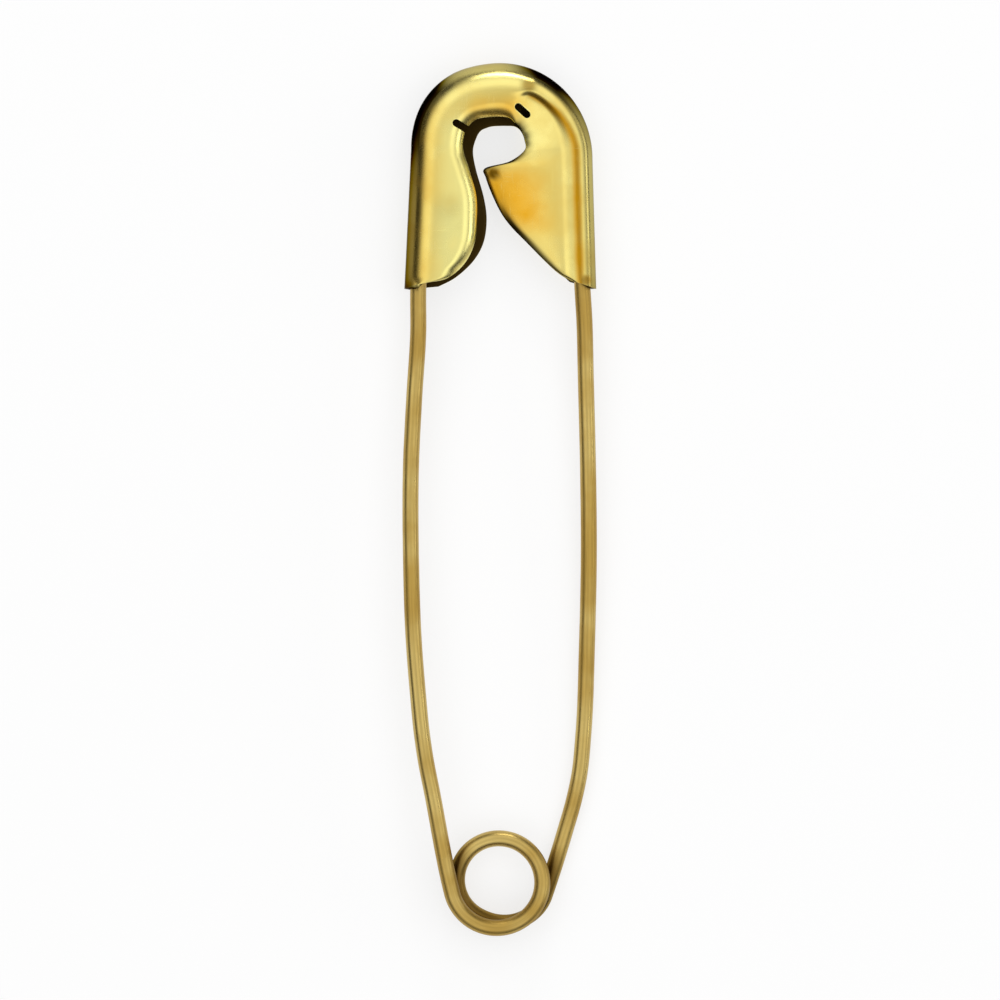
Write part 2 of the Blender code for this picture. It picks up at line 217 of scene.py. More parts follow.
capGold = {
    "pale": (0.90, 0.82, 0.30),       # lemon gold of the flat, brushed places
    "tan": (0.78, 0.58, 0.14),
    "warm": (0.74, 0.37, 0.012),      # deeper orange gold, painted shade on the pressed-down leaf, the crimp and the crease
    "dark": (0.016, 0.010, 0.002),    # painted shade and dark reflection on the steep rim, free edges, crease and spots
    "shade": (0.16, 0.12, 0.05),      # what the painted shade leaves of the shine at its edge, a painted dark reflection
    "inner": (0.030, 0.013, 0.001),   # painted shade inside the folded sheet
    "cloud": (420.0, 3.0, 0.5),       # noise: scale, detail, roughness; then stretch, turn
    "grain": (8000.0, 4.0, 0.6),
    "scratches": ((8000.0, 3.0, 0.6, (1.0, 0.06, 1.0), 12.0),
                  (8000.0, 2.0, 0.6, (0.05, 1.0, 1.0), -31.0)),
    "scratchRanges": ((0.60, 0.72), (0.64, 0.74)),
    "warmRange": (0.35, 0.7),         # clouds shift the colour along pale, tan and warm
    "warmShift": (-0.08, 0.10),
    "scratchPale": 0.12,              # how far scratches and cut edges turn it pale
    "edgePale": 0.5,
    "innerShare": 0.97,
    "roughRange": (0.3, 0.7),
    "rough": (0.20, 0.34),
    "scratchRough": 0.08,
    "innerRough": 0.25,
    "grainHeight": 0.35,              # of the fine grain, where a scratch is 1 deep
    "bump": 0.08,
    "bumpDepth": 0.004 * mm,
}

wireGold = {
    "pale": (0.60, 0.45, 0.15),
    "warm": (0.48, 0.31, 0.07),
    "dullAndShade": (0.20, 0.13, 0.035),
    "creviceShade": (0.10, 0.05, 0.006),   # painted shade where one winding lies close to the next
    "shade": (0.30, 0.22, 0.10),      # what that painted shade leaves of the shine at its edge, a painted dark reflection
    "cloud": (260.0, 3.0, 0.5),
    "cloudRange": (0.3, 0.7),
    "lines": (9000.0, 3.0, 0.6, (1.0, 1.0, 0.03)),    # stretched along the wire
    "lineRange": (0.35, 0.68),
    "lineDull": 0.22,                 # how far drawing lines and nicks turn it dull
    "nicks": (9000.0, 3.0, 0.6, (1.0, 1.0, 0.6)),
    "nickRange": (0.68, 0.76),
    "nickDull": 0.35,
    "nickHeight": -0.5,
    "rough": (0.24, 0.40),
    "lineRough": 0.08,
    "bump": 0.12,
    "bumpDepth": 0.006 * mm,
}


def makeCapGold():
    look = capGold
    material, tree, shader, place = startGold("capGoldPlate")
    warmth, paintedShade, inside, edge = (attributeNode(tree, name)
                                     for name in ("warmth", "paintedShade", "inside", "edge"))
    cloud = noiseNode(tree, place, *look["cloud"])
    grain = noiseNode(tree, place, *look["grain"])
    scratches = mathNode(tree, "MAXIMUM", *(
        mapRange(tree, noiseNode(tree, place, *noise), *span)
        for noise, span in zip(look["scratches"], look["scratchRanges"])))

    shift = mapRange(tree, cloud, *look["warmRange"], *look["warmShift"])
    ramp = tree.nodes.new("ShaderNodeValToRGB")
    tree.links.new(mathNode(tree, "ADD", warmth, shift, limit=True), ramp.inputs["Fac"])
    ramp.color_ramp.elements.new(0.5)
    for element, name in zip(ramp.color_ramp.elements, ("pale", "tan", "warm")):
        element.color = (*look[name], 1)
    colour = ramp.outputs["Color"]
    # scratches and cut edges turn it pale; the dark and inner mixes paint shade on the rim, edges,
    # crease, spots and inside the fold
    for share, strength, name in ((scratches, look["scratchPale"], "pale"),
                                  (edge, look["edgePale"], "pale"),
                                  (paintedShade, 1.0, "dark"),
                                  (inside, look["innerShare"], "inner")):
        colour = mixColour(tree, mathNode(tree, "MULTIPLY", share, strength), colour, look[name])

    rough = mapRange(tree, cloud, *look["roughRange"], *look["rough"])
    for share, strength in ((scratches, look["scratchRough"]), (inside, look["innerRough"])):
        added = mathNode(tree, "MULTIPLY", share, strength)
        rough = mathNode(tree, "ADD", rough, added, limit=True)
    # painted dark reflection: the shine darkens where the colour takes painted shade
    dullAndShade = mathNode(tree, "MAXIMUM", paintedShade, inside)
    grain = mathNode(tree, "MULTIPLY", grain, look["grainHeight"])
    height = mathNode(tree, "SUBTRACT", grain, scratches)
    finishGold(tree, shader, look, colour, dullAndShade, rough, height)
    return material


def makeWireGold():
    look = wireGold
    material, tree, shader, place = startGold("wireGoldPlate")
    along = attributeNode(tree, "wireGrain", "Vector")
    creviceShade = attributeNode(tree, "creviceShade")
    cloud = noiseNode(tree, place, *look["cloud"])
    lines = noiseNode(tree, along, *look["lines"])
    drawn = mapRange(tree, lines, *look["lineRange"])
    nicks = mapRange(tree, noiseNode(tree, along, *look["nicks"]), *look["nickRange"])

    colour = mixColour(tree, mapRange(tree, cloud, *look["cloudRange"]), look["pale"], look["warm"])
    # drawing lines and nicks dull it; the crevice mix is painted shade between windings
    for share, strength, name in ((drawn, look["lineDull"], "dullAndShade"),
                                  (nicks, look["nickDull"], "dullAndShade"),
                                  (creviceShade, 1.0, "creviceShade")):
        colour = mixColour(tree, mathNode(tree, "MULTIPLY", share, strength), colour, look[name])
    rough = mathNode(tree, "ADD", mapRange(tree, cloud, *look["cloudRange"], *look["rough"]),
                     mathNode(tree, "MULTIPLY", drawn, look["lineRough"]))
    height = mathNode(tree, "ADD", lines, mathNode(tree, "MULTIPLY", nicks, look["nickHeight"]))
    finishGold(tree, shader, look, colour, creviceShade, rough, height)
    return material


# Clasp cap

cap = {
    "top": capHigh.y,
    "mouth": capLow.y + 0.015 * mm,
    "halfWidth": 5.9 * mm,
    "thickness": capHigh.z - capLow.z,
    "middle": (capLow.z + capHigh.z) / 2,
    "sheet": 0.28 * mm,
    "mouthHalf": (-capLow.x, capHigh.x),          # left, right
    "shoulderHalf": (5.5 * mm, 5.72 * mm),
    "archHeight": (5.38 * mm, 5.94 * mm),
    "archPower": (2.2, 2.0),
    "cornerGuard": 1.70 * mm,       # rounding between the wall and the guard's leaves
    "cornerCrease": 1.16 * mm,      # the same beside the crease round the arch
    "cornerCrimp": 0.95 * mm,       # the same where the sheet wraps the fixed leg
    "cornerShare": 0.62,            # the most that it takes of a leaf's width
    "lipWidth": 0.95 * mm,          # free edge rolled down
    "leafLip": 0.50 * mm,
    "lipShare": 0.6,                # the most that it takes of what the corner leaves
    "lipCurve": 1.60 * mm,
    "leafDrop": 0.30 * mm,          # leaf under the ridge over the fixed leg
    "stepStart": 0.05 * mm,
    "stepWidth": 1.00 * mm,
    "creaseWidth": 0.50 * mm,       # the same step round the arch, where it is a crease
    "beakDrop": 0.62 * mm,
    "backDrop": 1.1 * mm,           # crimped back leaf under the middle plane
    "slotWidth": 0.46 * mm,
    "slotDepth": 1.1 * mm,          # of its cutter, each way from the front
    "slotSteps": 12,
    "edgeRound": 0.05 * mm,
    "edgeSteps": 2,
    "edgeDegrees": 50.0,            # edges beyond this are rounded
    "sharpDegrees": 60.0,           # edges beyond this aren't shaded smooth
    "rowsPerStation": 8,
    "columns": {"corner": 12, "step": 8, "leaf": 14, "lip": 8, "back": 12},       # faces across

    # colour: lengths are from the wall; of a pair, the crimp has the second value
    # the warmth along the wall, round the arch and on the front leaves paints shade as deeper tan
    # and orange; the darkness paints shade and dark reflection
    "wallWarmth": (0.5, 0.05),      # along the guard, and past its end
    "wallChange": 0.35,             # how much of the outline the change takes
    "wallBase": 0.2,
    "wallNear": 0.25,               # in corners: where that starts to fade, and over what
    "wallFade": 1.3,
    "leafBase": (0.15, 0.25),       # front leaf near the wall, raised and recessed
    "leafStart": (0.6, 1.4),        # in corners: where it turns to the station's warmth
    "leafFull": 0.80,               # share of the leaf's width where it has all of it
    "backWarmth": 0.35,
    "creaseShadeMiddle": (1.62 * mm, 1.02 * mm),       # painted shade: a warm, dark streak along the crease, down the ridge
    "creaseShadeHalf": (0.42 * mm, 0.56 * mm),
    "creaseShadeDark": (0.50, 0.32),
    "rimDark": 0.48 * mm,           # painted shade and dark reflection from the wall inwards, and over what it fades
    "rimFade": 0.38 * mm,
    "edgeDark": 0.26 * mm,          # the same from a free edge
    "edgeFade": 0.40 * mm,
    "shadeSpotWarmth": 1.3,
    "shadeSpotSolid": 0.3,              # in radii: the solid middle, and over what the rest fades
    "shadeSpotFade": 1.2,

    # places: x as a share of the half width, y as a share of the way up from the mouth
    # x, y, turn in degrees, length
    "slots": [(-0.402, 0.714, 151.0, 1.20 * mm), (0.236, 0.782, -41.0, 1.15 * mm)],
    # painted shade spots at the mouth's corners where the wires enter, at the beak's tip and in the
    # left leaf's middle, and a dark spot where the crease starts by the top rim: x, y, radius as a
    # share of the half width, strength
    "shadeSpots": [(-0.072, 0.510, 0.072, 0.85), (-0.955, 0.022, 0.05, 0.6),
               (0.90, 0.035, 0.07, 0.6), (-0.553, 0.36, 0.14, 0.10),
               (0.30, 0.893, 0.085, 0.48)],
    # place along the outline (0-1 up the guard, 1-2 round the arch, 2-3 down the crimp); front
    # edge x, y; back edge x, y; recessed; hugs the wire; pressed down; warm, painted shade as
    # deeper orange; dark rim and dark edge, painted shade
    "stations": [
        (0.000, -0.742, 0.024, -0.648, 0.014, 0.0, 0.0, 0.0, 0.15, 0.85, 0.30),
        (0.072, -0.545, 0.044, -0.465, 0.055, 0.0, 0.0, 0.0, 0.10, 0.75, 0.10),
        (0.186, -0.364, 0.112, -0.280, 0.128, 0.0, 0.0, 0.0, 0.05, 0.72, 0.00),
        (0.316, -0.264, 0.204, -0.172, 0.212, 0.0, 0.0, 0.0, 0.00, 0.70, 0.00),
        (0.511, -0.240, 0.314, -0.140, 0.314, 0.0, 0.0, 0.0, 0.00, 0.70, 0.00),
        (0.674, -0.250, 0.414, -0.172, 0.414, 0.0, 0.0, 0.0, 0.00, 0.72, 0.00),
        (0.853, -0.322, 0.524, -0.250, 0.530, 0.0, 0.0, 0.0, 0.00, 0.80, 0.00),
        (1.000, -0.386, 0.614, -0.284, 0.614, 0.0, 0.0, 0.0, 0.00, 0.95, 0.00),
        (1.065, -0.366, 0.684, -0.252, 0.672, 0.0, 0.0, 0.0, 0.05, 1.00, 0.00),
        (1.152, -0.310, 0.724, -0.205, 0.706, 0.0, 0.0, 0.0, 0.20, 1.00, 0.00),
        (1.253, -0.240, 0.746, -0.140, 0.720, 0.0, 0.0, 0.0, 0.45, 0.95, 0.00),
        (1.347, -0.151, 0.754, -0.078, 0.727, 0.0, 0.0, 0.0, 0.60, 0.45, 0.00),
        (1.500, -0.009, 0.757, 0.010, 0.729, 0.0, 0.0, 0.0, 0.70, 0.35, 0.00),
        (1.598, 0.085, 0.751, 0.071, 0.729, 0.25, 0.0, 0.0, 0.80, 0.85, 0.00),
        (1.646, 0.160, 0.729, 0.147, 0.727, 0.85, 0.0, 0.0, 0.60, 1.00, 0.20),
        (1.729, 0.208, 0.711, 0.203, 0.712, 1.0, 0.2, 0.0, 0.35, 1.00, 0.30),
        (1.813, 0.240, 0.685, 0.241, 0.686, 1.0, 0.5, 0.0, 0.25, 0.75, 0.20),
        (1.897, 0.260, 0.653, 0.262, 0.654, 1.0, 0.8, 0.1, 0.20, 0.58, 0.15),
        (1.963, 0.255, 0.612, 0.279, 0.614, 1.0, 1.0, 0.3, 0.26, 0.48, 0.25),
        (2.000, 0.100, 0.564, 0.184, 0.558, 1.0, 1.0, 0.6, 0.42, 0.42, 0.70),
        (2.073, -0.158, 0.534, -0.043, 0.530, 1.0, 1.0, 0.8, 0.60, 0.40, 0.80),
        (2.147, -0.148, 0.490, -0.043, 0.490, 1.0, 1.0, 0.9, 0.86, 0.40, 0.25),
        (2.293, -0.078, 0.412, 0.024, 0.414, 1.0, 1.0, 1.0, 1.00, 0.40, 0.30),
        (2.440, 0.014, 0.334, 0.085, 0.334, 1.0, 1.0, 0.9, 0.95, 0.40, 0.85),
        (2.550, 0.118, 0.274, 0.184, 0.274, 1.0, 1.0, 0.7, 0.72, 0.40, 1.00),
        (2.660, 0.255, 0.214, 0.317, 0.214, 1.0, 1.0, 0.45, 0.48, 0.40, 0.90),
        (2.842, 0.487, 0.114, 0.534, 0.114, 1.0, 1.0, 0.2, 0.35, 0.42, 0.60),
        (2.934, 0.620, 0.064, 0.650, 0.064, 1.0, 1.0, 0.1, 0.40, 0.46, 0.60),
        (3.000, 0.740, 0.034, 0.740, 0.034, 1.0, 1.0, 0.0, 0.45, 0.50, 0.60),
    ],
}


def outlinePoint(place):
    side = 0 if place < 1.5 else 1
    sign = (-1, 1)[side]
    shoulderY = cap["top"] - cap["archHeight"][side]
    if 1 <= place <= 2:
        angle = math.pi * (place - 1)
        power = 2 / mix(2, cap["archPower"][side], ease(2 * abs(math.cos(angle))))
        x = cap["shoulderHalf"][side] * abs(math.cos(angle)) ** power
        return Vector((sign * x, shoulderY + cap["archHeight"][side] * math.sin(angle) ** power, 0))
    up = place if side == 0 else 3 - place
    x = mix(cap["mouthHalf"][side], cap["shoulderHalf"][side], up)
    return Vector((sign * x, mix(cap["mouth"], shoulderY, up), 0))


def wallX(side, y):
    # how far the cap's wall stands from the middle at y
    shoulderY = cap["top"] - cap["archHeight"][side]
    if y <= shoulderY:
        up = (y - cap["mouth"]) / (shoulderY - cap["mouth"])
        return mix(cap["mouthHalf"][side], cap["shoulderHalf"][side], up)
    power = cap["archPower"][side]
    rise = (y - shoulderY) / cap["archHeight"][side]
    return cap["shoulderHalf"][side] * (1 - rise ** power) ** (1 / power)


def capPlace(xShare, yShare):
    y = cap["mouth"] + yShare * (cap["top"] - cap["mouth"])
    return Vector((xShare * cap["halfWidth"], y, 0))


def stepOf(hug):
    return mix(cap["creaseWidth"], cap["stepWidth"], hug)


def frontHeight(away, width, corner, top, recess, hug, press):
    # height of the front leaf's outer face, away from the wall
    middle = cap["middle"]
    if away < corner:
        return middle + (top - middle) * math.sqrt(1 - (1 - away / corner) ** 2)
    stepWidth = stepOf(hug)
    step = ease((away - corner - cap["stepStart"]) / stepWidth)
    beyond = ease((away - corner - stepWidth) / max(width - corner - stepWidth, stepWidth))
    leaf = top - cap["leafDrop"] * step - cap["beakDrop"] * press * beyond
    lip = max(away - width + lipOf(width, corner, recess), 0)
    return mix(top, leaf, recess) - lip * lip / cap["lipCurve"]


def lipOf(width, corner, recess):
    return min(mix(cap["lipWidth"], cap["leafLip"], recess), cap["lipShare"] * (width - corner))


def backHeight(away, corner, bottom, hug):
    middle = cap["middle"]
    if away < corner:
        return middle + (bottom - middle) * math.sqrt(1 - (1 - away / corner) ** 2)
    return mix(bottom, middle - cap["backDrop"], hug * ease((away - corner) / cap["stepWidth"]))


def leafAways(corner, width, step, stepCount, restCount, lipCount, lip=0.0):
    # distances from the wall, closer together where the sheet bends
    count = cap["columns"]["corner"]
    aways = [corner * (1 - math.cos(math.pi / 2 * (n + 1) / count)) for n in range(count)]
    step = min(step + cap["stepStart"], (width - corner - lip) / 2)
    aways += [corner + step * (n + 1) / stepCount for n in range(stepCount)]
    rest = width - lip - corner - step
    aways += [corner + step + rest * (n + 1) / restCount for n in range(restCount)]
    aways += [width - lip + lip * (n + 1) / lipCount for n in range(lipCount)]
    return aways


# painted shade: the strongest of the dark spots at a point
def shadeSpotAt(point):
    here = Vector((point.x, point.y, 0))
    strongest = 0
    for x, y, radius, strength in cap["shadeSpots"]:
        away = (here - capPlace(x, y)).length / (radius * cap["halfWidth"])
        spotShade = strength * fading(away, cap["shadeSpotSolid"], cap["shadeSpotFade"])
        strongest = max(strongest, spotShade)
    return strongest


# painted shade and dark reflection on the rim, fading in from the wall
def rimDarkness(away, rim):
    return rim * fading(away, cap["rimDark"], cap["rimFade"])


def leafTone(away, width, corner, hug, recess, warmth, wallShade, spotShade):
    # warmth of the front leaf, where deeper orange is painted shade, and how strong the painted
    # shade along the crease is there
    start = mix(*cap["leafStart"], hug) * corner
    onLeaf = ease((away - start) / (cap["leafFull"] * width - start))
    leaf = mix(mix(*cap["leafBase"], recess), warmth, onLeaf)
    wall = wallShade * fading(away, cap["wallNear"] * corner, cap["wallFade"] * corner)
    fromCreaseShade = abs(away - mix(*cap["creaseShadeMiddle"], hug))
    creaseShade = ease(2 * recess - 1) * fading(fromCreaseShade, 0, mix(*cap["creaseShadeHalf"], hug))
    return clamp(max(leaf + wall, creaseShade, cap["shadeSpotWarmth"] * spotShade)), creaseShade


def capSection(values):
    # one row of the sheet: points with their warm colour and painted shade
    place, frontX, frontY, backX, backY = values[:5]
    recess, hug, press, warmth, rim, edge = (clamp(value) for value in values[5:])
    wall = outlinePoint(clamp(place, 0, 3))
    across = capPlace(frontX, frontY) - wall
    width = across.length
    across.normalize()
    corner = mix(mix(cap["cornerGuard"], cap["cornerCrease"], recess), cap["cornerCrimp"], hug)
    corner = min(corner, cap["cornerShare"] * width)
    top = mix(cap["thickness"], cap["middle"] + cap["cornerCrimp"], hug)
    bottom = mix(0, cap["middle"] - cap["cornerCrimp"], hug)
    wallShade = mix(*cap["wallWarmth"], ease((place - 1) / cap["wallChange"]))
    row = []
    counts = cap["columns"]
    for away in leafAways(corner, width, stepOf(hug), counts["step"], counts["leaf"],
                          counts["lip"], lipOf(width, corner, recess)):
        point = wall + across * away
        point.z = frontHeight(away, width, corner, top, recess, hug, press)
        spotShade = shadeSpotAt(point)
        toneAndShade, creaseShade = leafTone(away, width, corner, hug, recess, warmth, wallShade, spotShade)
        # painted shade: dark free edges, the crease, the rim and the spots
        edgeDark = edge * fading(width - away, cap["edgeDark"], cap["edgeFade"])
        creaseShadeDark = mix(*cap["creaseShadeDark"], hug) * creaseShade
        row.append((point, toneAndShade, max(rimDarkness(away, rim), edgeDark, spotShade, creaseShadeDark)))
    row.reverse()
    row.append((Vector((wall.x, wall.y, cap["middle"])), cap["wallBase"] + wallShade, rim))
    across = capPlace(backX, backY) - wall
    width = across.length
    across.normalize()
    for away in leafAways(corner, width, stepOf(hug), counts["step"], counts["back"], 0):
        point = wall + across * away
        point.z = backHeight(away, corner, bottom, hug)
        row.append((point, cap["backWarmth"], rimDarkness(away, rim)))
    return row


def makeSlotCutter(number, xShare, yShare, turn, length):
    # a round-ended slot through the front leaf only
    shape = bmesh.new()
    half = (length - cap["slotWidth"]) / 2
    radius = cap["slotWidth"] / 2
    depth, steps = cap["slotDepth"], cap["slotSteps"]
    ring = []
    for end in (1, -1):
        for step in range(steps + 1):
            angle = math.pi * (step / steps - 0.5)
            ring.append(shape.verts.new((end * (half + radius * math.cos(angle)),
                                         end * radius * math.sin(angle), -depth)))
    pushed = bmesh.ops.extrude_face_region(shape, geom=[shape.faces.new(ring)])
    bmesh.ops.translate(shape, vec=(0, 0, 2 * depth),
                        verts=[v for v in pushed["geom"] if isinstance(v, bmesh.types.BMVert)])
    bmesh.ops.recalc_face_normals(shape, faces=shape.faces)
    mesh = bpy.data.meshes.new("slotCutter")
    shape.to_mesh(mesh)
    shape.free()
    cutter = newObject("slotCutter" + str(number), mesh)
    cutter.location = capPlace(xShare, yShare) + Vector((0, 0, cap["thickness"]))
    cutter.rotation_euler.z = math.radians(turn)
    return cutter


def makeCapShell(material):
    rowCount = (len(cap["stations"]) - 1) * cap["rowsPerStation"] + 1
    curves = list(zip(*cap["stations"]))
    rows = [capSection([splineValue(values, row / cap["rowsPerStation"]) for values in curves])
            for row in range(rowCount)]
    columns = len(rows[0])
    vertices, tonesAndShades, paintedShade = zip(*(item for row in rows for item in row))
    faces = [(a, a + columns, a + columns + 1, a + 1)
             for row in range(rowCount - 1)
             for a in range(row * columns, row * columns + columns - 1)]
    mesh = bpy.data.meshes.new("capShell")
    mesh.from_pydata(vertices, [], faces)
    mesh.attributes.new("warmth", "FLOAT", "POINT").data.foreach_set("value", tonesAndShades)
    mesh.attributes.new("paintedShade", "FLOAT", "POINT").data.foreach_set("value", paintedShade)
    mesh.shade_smooth()
    shell = newObject("capShell", mesh)
    shell.data.materials.append(material)
    sheet = shell.modifiers.new("sheet", "SOLIDIFY")
    sheet.thickness = cap["sheet"]
    sheet.offset = -1
    sheet.use_even_offset = True
    inner = shell.vertex_groups.new(name="innerFace")
    rim = shell.vertex_groups.new(name="rimFace")
    sheet.shell_vertex_group = inner.name
    sheet.rim_vertex_group = rim.name
    cutters = [makeSlotCutter(number, *slot) for number, slot in enumerate(cap["slots"])]
    for cutter in cutters:
        cut = shell.modifiers.new(cutter.name, "BOOLEAN")
        cut.operation = "DIFFERENCE"
        cut.object = cutter
    bevel = shell.modifiers.new("edges", "BEVEL")
    bevel.width = cap["edgeRound"]
    bevel.segments = cap["edgeSteps"]
    bevel.limit_method = "ANGLE"
    bevel.angle_limit = math.radians(cap["edgeDegrees"])
    shell = plainMesh(shell)
    for cutter in cutters:
        bpy.data.objects.remove(cutter, do_unlink=True)
    finishCapMesh(shell)
    return shell


def finishCapMesh(shell):
    # what the material reads: which points lie inside the fold, where it paints shade, and which on
    # its cut edges
    mesh = shell.data
    groups = [{item.group: item.weight for item in vertex.groups} for vertex in mesh.vertices]
    for name, number in (("inside", 0), ("edge", 1)):       # the shell's groups, in the order made
        values = [clamp(weights.get(number, 0)) for weights in groups]
        mesh.attributes.new(name, "FLOAT", "POINT").data.foreach_set("value", values)
        print("cap points,", name + ":", sum(value > 0.5 for value in values))
    mesh.shade_smooth()
    mesh.set_sharp_from_angle(angle=math.radians(cap["sharpDegrees"]))


# Wires

wire = {
    "radius": 0.5 * mm,
    "halfSpread": 5.58 * mm,
    "coilX": -0.14 * mm,
    "coilArmRadius": 2.9 * mm,       # centre line, where the arm leaves
    "coilRadius": 2.5 * mm,
    "coilLegRadius": 3.07 * mm,
    "coilDegrees": (192.0, 600.0, 704.0),         # at the arm, at its tightest, at the leg
    "coilPitch": 1.45 * mm,
    "rootAbove": 3.5 * mm,           # the root piece, above and below the bend
    "rootBelow": 4.2 * mm,
    "flex": 18 * mm,                 # how far up the arm the bend spreads
    "creviceGap": 1.6 * mm,          # painted shade where another winding is closer than this
    "creviceDark": 1.3,
    "creviceReach": 2.6 * mm,        # along the wire, what is nearer isn't another winding
    "pointLength": 4.5 * mm,
    "tipRadius": 0.05 * mm,
    "seatGap": 0.08 * mm,            # air beside the cap's wall
    "sides": 40,
    "spacing": 0.12 * mm,
    "coilSteps": 128,
    "weldGap": 0.0005 * mm,          # points closer than this are one
    "endRing": 0.01 * mm,            # how far from its end the solid arm's last points may lie
    "sharpDegrees": 60.0,

    # x as a share of the half spread, y as a share of the way from the coil's centre to the cap
    "armBend": (-0.755, 0.154),
    "armRoute": [(-0.815, 0.200), (-0.860, 0.245), (-0.910, 0.321), (-0.950, 0.397),
                 (-0.985, 0.549), (-0.985, 0.701), (-0.950, 0.815), (-0.905, 0.929)],
    "legRoute": [(0.640, 0.040), (0.730, 0.086), (0.815, 0.131), (0.880, 0.177),
                 (0.925, 0.245), (0.965, 0.397), (0.985, 0.549), (0.975, 0.701),
                 (0.950, 0.853), (0.935, 0.945)],
    # shares of the way up the cap, the arm's last one the tip
    "armSeat": [0.0, 0.14, 0.28, 0.42, 0.56],
    "legSeat": [0.03, 0.15, 0.30, 0.45, 0.56, 0.65, 0.72],
}
wire["coilY"] = wireLow.y + wire["coilArmRadius"] + wire["radius"]
wire["coilRise"] = wire["coilPitch"] * (wire["coilDegrees"][2] - wire["coilDegrees"][0]) / 360
wire["coilTop"] = wire["radius"] + wire["coilRise"]


def routePlace(xShare, yShare, z):
    return Vector((xShare * wire["halfSpread"], mix(wire["coilY"], cap["mouth"], yShare), z))


def bendPlace():
    xShare, yShare = wire["armBend"]
    return routePlace(xShare, yShare, mix(wire["coilTop"], cap["middle"], yShare))


def seatPlace(side, yShare, inset, z):
    y = mix(cap["mouth"], cap["top"], yShare)
    return Vector(((-1, 1)[side] * (wallX(side, y) - inset - wire["radius"]), y, z))


def coilPlaces():
    first, tight, last = wire["coilDegrees"]
    steps = wire["coilSteps"]
    points = []
    for step in range(steps + 1):
        degrees = mix(first, last, step / steps)
        if degrees < tight:
            share = ease((degrees - first) / (tight - first))
            radius = mix(wire["coilArmRadius"], wire["coilRadius"], share)
        else:
            share = ease((degrees - tight) / (last - tight))
            radius = mix(wire["coilRadius"], wire["coilLegRadius"], share)
        angle = math.radians(degrees)
        points.append(Vector((wire["coilX"] + radius * math.cos(angle),
                              wire["coilY"] + radius * math.sin(angle),
                              wire["coilTop"] - wire["coilRise"] * step / steps)))
    return points


def wholeWirePath():
    # from the sharp tip down the arm, round the coil, up the fixed leg and into the crimp
    bend, tip = bendPlace(), armTip
    inset = cap["sheet"] + wire["seatGap"]
    arm = [bend] + [routePlace(x, y, 0) for x, y in wire["armRoute"]]
    arm += [seatPlace(0, y, inset, 0) for y in wire["armSeat"]]
    for point in arm:
        point.z = mix(bend.z, tip.z, (point.y - bend.y) / (tip.y - bend.y))
    leg = [routePlace(x, y, mix(wire["radius"], cap["middle"], ease(y)))
           for x, y in wire["legRoute"]]
    leg += [seatPlace(1, y, inset, cap["middle"]) for y in wire["legSeat"]]
    path = smoothPath(arm[::-1] + coilPlaces() + leg, wire["spacing"])
    for point in path:
        point.z = max(point.z, wire["radius"])     # it dips a hair where the leg starts to rise
    return path


def lengthsAlong(path):
    travelled = [0.0]
    for a, b in zip(path, path[1:]):
        travelled.append(travelled[-1] + (b - a).length)
    return travelled


def splitWire(path):
    # the arm, the root that twists, and the rest of the spring
    travelled = lengthsAlong(path)
    bend = travelled[min(range(len(path)), key=lambda n: (path[n] - bendPlace()).length)]
    first, second = (min(range(len(path)), key=lambda n: abs(travelled[n] - place))
                     for place in (bend - wire["rootAbove"], bend + wire["rootBelow"]))
    return path[:first + 1][::-1], path[first:second + 1][::-1], path[second:]


def markCrevices(piece, path):
    # painted shade: how closely another winding lies to each point of the wire, darker the closer
    travelled = lengthsAlong(path)
    tree = KDTree(len(path))
    for index, point in enumerate(path):
        tree.insert(point, index)
    tree.balance()
    farthest = wire["radius"] + wire["creviceGap"]
    values = []
    for vertex in piece.data.vertices:
        here = travelled[tree.find(vertex.co)[1]]
        near = [distance for place, index, distance in tree.find_range(vertex.co, farthest)
                if abs(travelled[index] - here) > wire["creviceReach"]]
        gap = min(near, default=farthest) - wire["radius"]
        values.append(clamp(wire["creviceDark"] * fading(gap, 0, wire["creviceGap"])))
    piece.data.attributes.new("creviceShade", "FLOAT", "POINT").data.foreach_set("value", values)


def groupInput(group, name, kind, value=None):
    socket = group.interface.new_socket(name=name, in_out="INPUT", socket_type=kind)
    if value is not None:
        socket.default_value = value
    return socket.identifier


